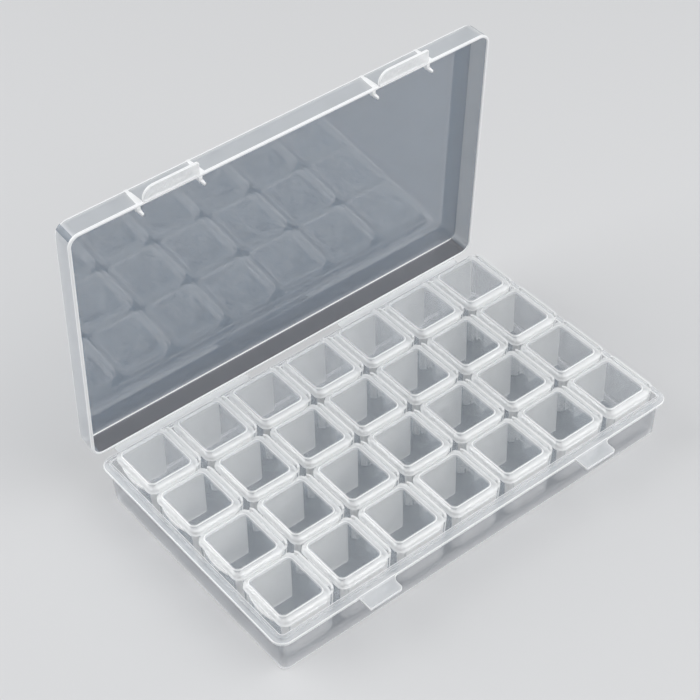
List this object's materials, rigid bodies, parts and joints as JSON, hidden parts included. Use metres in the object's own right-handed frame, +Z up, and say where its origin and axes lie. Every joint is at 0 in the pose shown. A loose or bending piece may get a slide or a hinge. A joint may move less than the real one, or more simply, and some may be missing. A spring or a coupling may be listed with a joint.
{
  "type": "craft storage box",
  "caption": "Flat clear plastic storage box with a hinged lid, holding lift-out strips of small cells that each have their own flip lid.",
  "frame": {"origin": "middle of the tray's underside, on the surface that the box stands on", "axes": "+X along the long side, from the cells' finger lips to their hinges; +Y towards the lid's hinge; +Z up"},
  "size_m": [0.175, 0.1231, 0.1272],
  "materials": {
    "box_clear": "glossy, milky clear",
    "lid_clear": "glossy, milky clear",
    "cell_clear": "glossy, milky clear",
    "film_clear": "satin, milky clear"
  },
  "bodies": {
    "tray": {"tray": "box_clear", "left_hinge_film": "film_clear", "right_hinge_film": "film_clear"},
    "lid": {"lid": "lid_clear"},
    "strip_1": {"strip_1": "cell_clear", "strip_1_hinge_films": "film_clear"},
    "cell_lid_1_1": {"cell_lid_1_1": "cell_clear"},
    "cell_lid_1_2": {"cell_lid_1_2": "cell_clear"},
    "cell_lid_1_3": {"cell_lid_1_3": "cell_clear"},
    "cell_lid_1_4": {"cell_lid_1_4": "cell_clear"},
    "strip_2": {"strip_2": "cell_clear", "strip_2_hinge_films": "film_clear"},
    "cell_lid_2_1": {"cell_lid_2_1": "cell_clear"},
    "cell_lid_2_2": {"cell_lid_2_2": "cell_clear"},
    "cell_lid_2_3": {"cell_lid_2_3": "cell_clear"},
    "cell_lid_2_4": {"cell_lid_2_4": "cell_clear"},
    "strip_3": {"strip_3": "cell_clear", "strip_3_hinge_films": "film_clear"},
    "cell_lid_3_1": {"cell_lid_3_1": "cell_clear"},
    "cell_lid_3_2": {"cell_lid_3_2": "cell_clear"},
    "cell_lid_3_3": {"cell_lid_3_3": "cell_clear"},
    "cell_lid_3_4": {"cell_lid_3_4": "cell_clear"},
    "strip_4": {"strip_4": "cell_clear", "strip_4_hinge_films": "film_clear"},
    "cell_lid_4_1": {"cell_lid_4_1": "cell_clear"},
    "cell_lid_4_2": {"cell_lid_4_2": "cell_clear"},
    "cell_lid_4_3": {"cell_lid_4_3": "cell_clear"},
    "cell_lid_4_4": {"cell_lid_4_4": "cell_clear"},
    "strip_5": {"strip_5": "cell_clear", "strip_5_hinge_films": "film_clear"},
    "cell_lid_5_1": {"cell_lid_5_1": "cell_clear"},
    "cell_lid_5_2": {"cell_lid_5_2": "cell_clear"},
    "cell_lid_5_3": {"cell_lid_5_3": "cell_clear"},
    "cell_lid_5_4": {"cell_lid_5_4": "cell_clear"},
    "strip_6": {"strip_6": "cell_clear", "strip_6_hinge_films": "film_clear"},
    "cell_lid_6_1": {"cell_lid_6_1": "cell_clear"},
    "cell_lid_6_2": {"cell_lid_6_2": "cell_clear"},
    "cell_lid_6_3": {"cell_lid_6_3": "cell_clear"},
    "cell_lid_6_4": {"cell_lid_6_4": "cell_clear"},
    "strip_7": {"strip_7": "cell_clear", "strip_7_hinge_films": "film_clear"},
    "cell_lid_7_1": {"cell_lid_7_1": "cell_clear"},
    "cell_lid_7_2": {"cell_lid_7_2": "cell_clear"},
    "cell_lid_7_3": {"cell_lid_7_3": "cell_clear"},
    "cell_lid_7_4": {"cell_lid_7_4": "cell_clear"}
  },
  "joints": [
    {"name": "lid_hinge", "type": "hinge", "parent": "tray", "child": "lid", "pos_m": [0, 0.05371, 0.01562], "axis": [-1, 0, 0], "range_deg": [-86, 94], "deforming": ["left_hinge_film", "right_hinge_film"]},
    {"name": "strip_1_lift", "type": "slide", "parent": "tray", "child": "strip_1", "axis": [0, 0, 1], "range_m": [0, 0.025]},
    {"name": "cell_lid_1_1_hinge", "type": "hinge", "parent": "strip_1", "child": "cell_lid_1_1", "pos_m": [-0.06191, -0.03698, 0.0225], "axis": [0, 1, 0], "range_deg": [0, 170], "deforming": ["strip_1_hinge_films"]},
    {"name": "cell_lid_1_2_hinge", "type": "hinge", "parent": "strip_1", "child": "cell_lid_1_2", "pos_m": [-0.06191, -0.01232, 0.0225], "axis": [0, 1, 0], "range_deg": [0, 170], "deforming": ["strip_1_hinge_films"]},
    {"name": "cell_lid_1_3_hinge", "type": "hinge", "parent": "strip_1", "child": "cell_lid_1_3", "pos_m": [-0.06191, 0.01232, 0.0225], "axis": [0, 1, 0], "range_deg": [0, 170], "deforming": ["strip_1_hinge_films"]},
    {"name": "cell_lid_1_4_hinge", "type": "hinge", "parent": "strip_1", "child": "cell_lid_1_4", "pos_m": [-0.06191, 0.03698, 0.0225], "axis": [0, 1, 0], "range_deg": [0, 170], "deforming": ["strip_1_hinge_films"]},
    {"name": "strip_2_lift", "type": "slide", "parent": "tray", "child": "strip_2", "axis": [0, 0, 1], "range_m": [0, 0.025]},
    {"name": "cell_lid_2_1_hinge", "type": "hinge", "parent": "strip_2", "child": "cell_lid_2_1", "pos_m": [-0.03783, -0.03698, 0.0225], "axis": [0, 1, 0], "range_deg": [0, 170], "deforming": ["strip_2_hinge_films"]},
    {"name": "cell_lid_2_2_hinge", "type": "hinge", "parent": "strip_2", "child": "cell_lid_2_2", "pos_m": [-0.03783, -0.01232, 0.0225], "axis": [0, 1, 0], "range_deg": [0, 170], "deforming": ["strip_2_hinge_films"]},
    {"name": "cell_lid_2_3_hinge", "type": "hinge", "parent": "strip_2", "child": "cell_lid_2_3", "pos_m": [-0.03783, 0.01232, 0.0225], "axis": [0, 1, 0], "range_deg": [0, 170], "deforming": ["strip_2_hinge_films"]},
    {"name": "cell_lid_2_4_hinge", "type": "hinge", "parent": "strip_2", "child": "cell_lid_2_4", "pos_m": [-0.03783, 0.03698, 0.0225], "axis": [0, 1, 0], "range_deg": [0, 170], "deforming": ["strip_2_hinge_films"]},
    {"name": "strip_3_lift", "type": "slide", "parent": "tray", "child": "strip_3", "axis": [0, 0, 1], "range_m": [0, 0.025]},
    {"name": "cell_lid_3_1_hinge", "type": "hinge", "parent": "strip_3", "child": "cell_lid_3_1", "pos_m": [-0.01374, -0.03698, 0.0225], "axis": [0, 1, 0], "range_deg": [0, 170], "deforming": ["strip_3_hinge_films"]},
    {"name": "cell_lid_3_2_hinge", "type": "hinge", "parent": "strip_3", "child": "cell_lid_3_2", "pos_m": [-0.01374, -0.01232, 0.0225], "axis": [0, 1, 0], "range_deg": [0, 170], "deforming": ["strip_3_hinge_films"]},
    {"name": "cell_lid_3_3_hinge", "type": "hinge", "parent": "strip_3", "child": "cell_lid_3_3", "pos_m": [-0.01374, 0.01232, 0.0225], "axis": [0, 1, 0], "range_deg": [0, 170], "deforming": ["strip_3_hinge_films"]},
    {"name": "cell_lid_3_4_hinge", "type": "hinge", "parent": "strip_3", "child": "cell_lid_3_4", "pos_m": [-0.01374, 0.03698, 0.0225], "axis": [0, 1, 0], "range_deg": [0, 170], "deforming": ["strip_3_hinge_films"]},
    {"name": "strip_4_lift", "type": "slide", "parent": "tray", "child": "strip_4", "axis": [0, 0, 1], "range_m": [0, 0.025]},
    {"name": "cell_lid_4_1_hinge", "type": "hinge", "parent": "strip_4", "child": "cell_lid_4_1", "pos_m": [0.01034, -0.03698, 0.0225], "axis": [0, 1, 0], "range_deg": [0, 170], "deforming": ["strip_4_hinge_films"]},
    {"name": "cell_lid_4_2_hinge", "type": "hinge", "parent": "strip_4", "child": "cell_lid_4_2", "pos_m": [0.01034, -0.01232, 0.0225], "axis": [0, 1, 0], "range_deg": [0, 170], "deforming": ["strip_4_hinge_films"]},
    {"name": "cell_lid_4_3_hinge", "type": "hinge", "parent": "strip_4", "child": "cell_lid_4_3", "pos_m": [0.01034, 0.01232, 0.0225], "axis": [0, 1, 0], "range_deg": [0, 170], "deforming": ["strip_4_hinge_films"]},
    {"name": "cell_lid_4_4_hinge", "type": "hinge", "parent": "strip_4", "child": "cell_lid_4_4", "pos_m": [0.01034, 0.03698, 0.0225], "axis": [0, 1, 0], "range_deg": [0, 170], "deforming": ["strip_4_hinge_films"]},
    {"name": "strip_5_lift", "type": "slide", "parent": "tray", "child": "strip_5", "axis": [0, 0, 1], "range_m": [0, 0.025]},
    {"name": "cell_lid_5_1_hinge", "type": "hinge", "parent": "strip_5", "child": "cell_lid_5_1", "pos_m": [0.03443, -0.03698, 0.0225], "axis": [0, 1, 0], "range_deg": [0, 170], "deforming": ["strip_5_hinge_films"]},
    {"name": "cell_lid_5_2_hinge", "type": "hinge", "parent": "strip_5", "child": "cell_lid_5_2", "pos_m": [0.03443, -0.01232, 0.0225], "axis": [0, 1, 0], "range_deg": [0, 170], "deforming": ["strip_5_hinge_films"]},
    {"name": "cell_lid_5_3_hinge", "type": "hinge", "parent": "strip_5", "child": "cell_lid_5_3", "pos_m": [0.03443, 0.01232, 0.0225], "axis": [0, 1, 0], "range_deg": [0, 170], "deforming": ["strip_5_hinge_films"]},
    {"name": "cell_lid_5_4_hinge", "type": "hinge", "parent": "strip_5", "child": "cell_lid_5_4", "pos_m": [0.03443, 0.03698, 0.0225], "axis": [0, 1, 0], "range_deg": [0, 170], "deforming": ["strip_5_hinge_films"]},
    {"name": "strip_6_lift", "type": "slide", "parent": "tray", "child": "strip_6", "axis": [0, 0, 1], "range_m": [0, 0.025]},
    {"name": "cell_lid_6_1_hinge", "type": "hinge", "parent": "strip_6", "child": "cell_lid_6_1", "pos_m": [0.05851, -0.03698, 0.0225], "axis": [0, 1, 0], "range_deg": [0, 170], "deforming": ["strip_6_hinge_films"]},
    {"name": "cell_lid_6_2_hinge", "type": "hinge", "parent": "strip_6", "child": "cell_lid_6_2", "pos_m": [0.05851, -0.01232, 0.0225], "axis": [0, 1, 0], "range_deg": [0, 170], "deforming": ["strip_6_hinge_films"]},
    {"name": "cell_lid_6_3_hinge", "type": "hinge", "parent": "strip_6", "child": "cell_lid_6_3", "pos_m": [0.05851, 0.01232, 0.0225], "axis": [0, 1, 0], "range_deg": [0, 170], "deforming": ["strip_6_hinge_films"]},
    {"name": "cell_lid_6_4_hinge", "type": "hinge", "parent": "strip_6", "child": "cell_lid_6_4", "pos_m": [0.05851, 0.03698, 0.0225], "axis": [0, 1, 0], "range_deg": [0, 170], "deforming": ["strip_6_hinge_films"]},
    {"name": "strip_7_lift", "type": "slide", "parent": "tray", "child": "strip_7", "axis": [0, 0, 1], "range_m": [0, 0.025]},
    {"name": "cell_lid_7_1_hinge", "type": "hinge", "parent": "strip_7", "child": "cell_lid_7_1", "pos_m": [0.0826, -0.03698, 0.0225], "axis": [0, 1, 0], "range_deg": [0, 170], "deforming": ["strip_7_hinge_films"]},
    {"name": "cell_lid_7_2_hinge", "type": "hinge", "parent": "strip_7", "child": "cell_lid_7_2", "pos_m": [0.0826, -0.01232, 0.0225], "axis": [0, 1, 0], "range_deg": [0, 170], "deforming": ["strip_7_hinge_films"]},
    {"name": "cell_lid_7_3_hinge", "type": "hinge", "parent": "strip_7", "child": "cell_lid_7_3", "pos_m": [0.0826, 0.01232, 0.0225], "axis": [0, 1, 0], "range_deg": [0, 170], "deforming": ["strip_7_hinge_films"]},
    {"name": "cell_lid_7_4_hinge", "type": "hinge", "parent": "strip_7", "child": "cell_lid_7_4", "pos_m": [0.0826, 0.03698, 0.0225], "axis": [0, 1, 0], "range_deg": [0, 170], "deforming": ["strip_7_hinge_films"]}
  ]
}
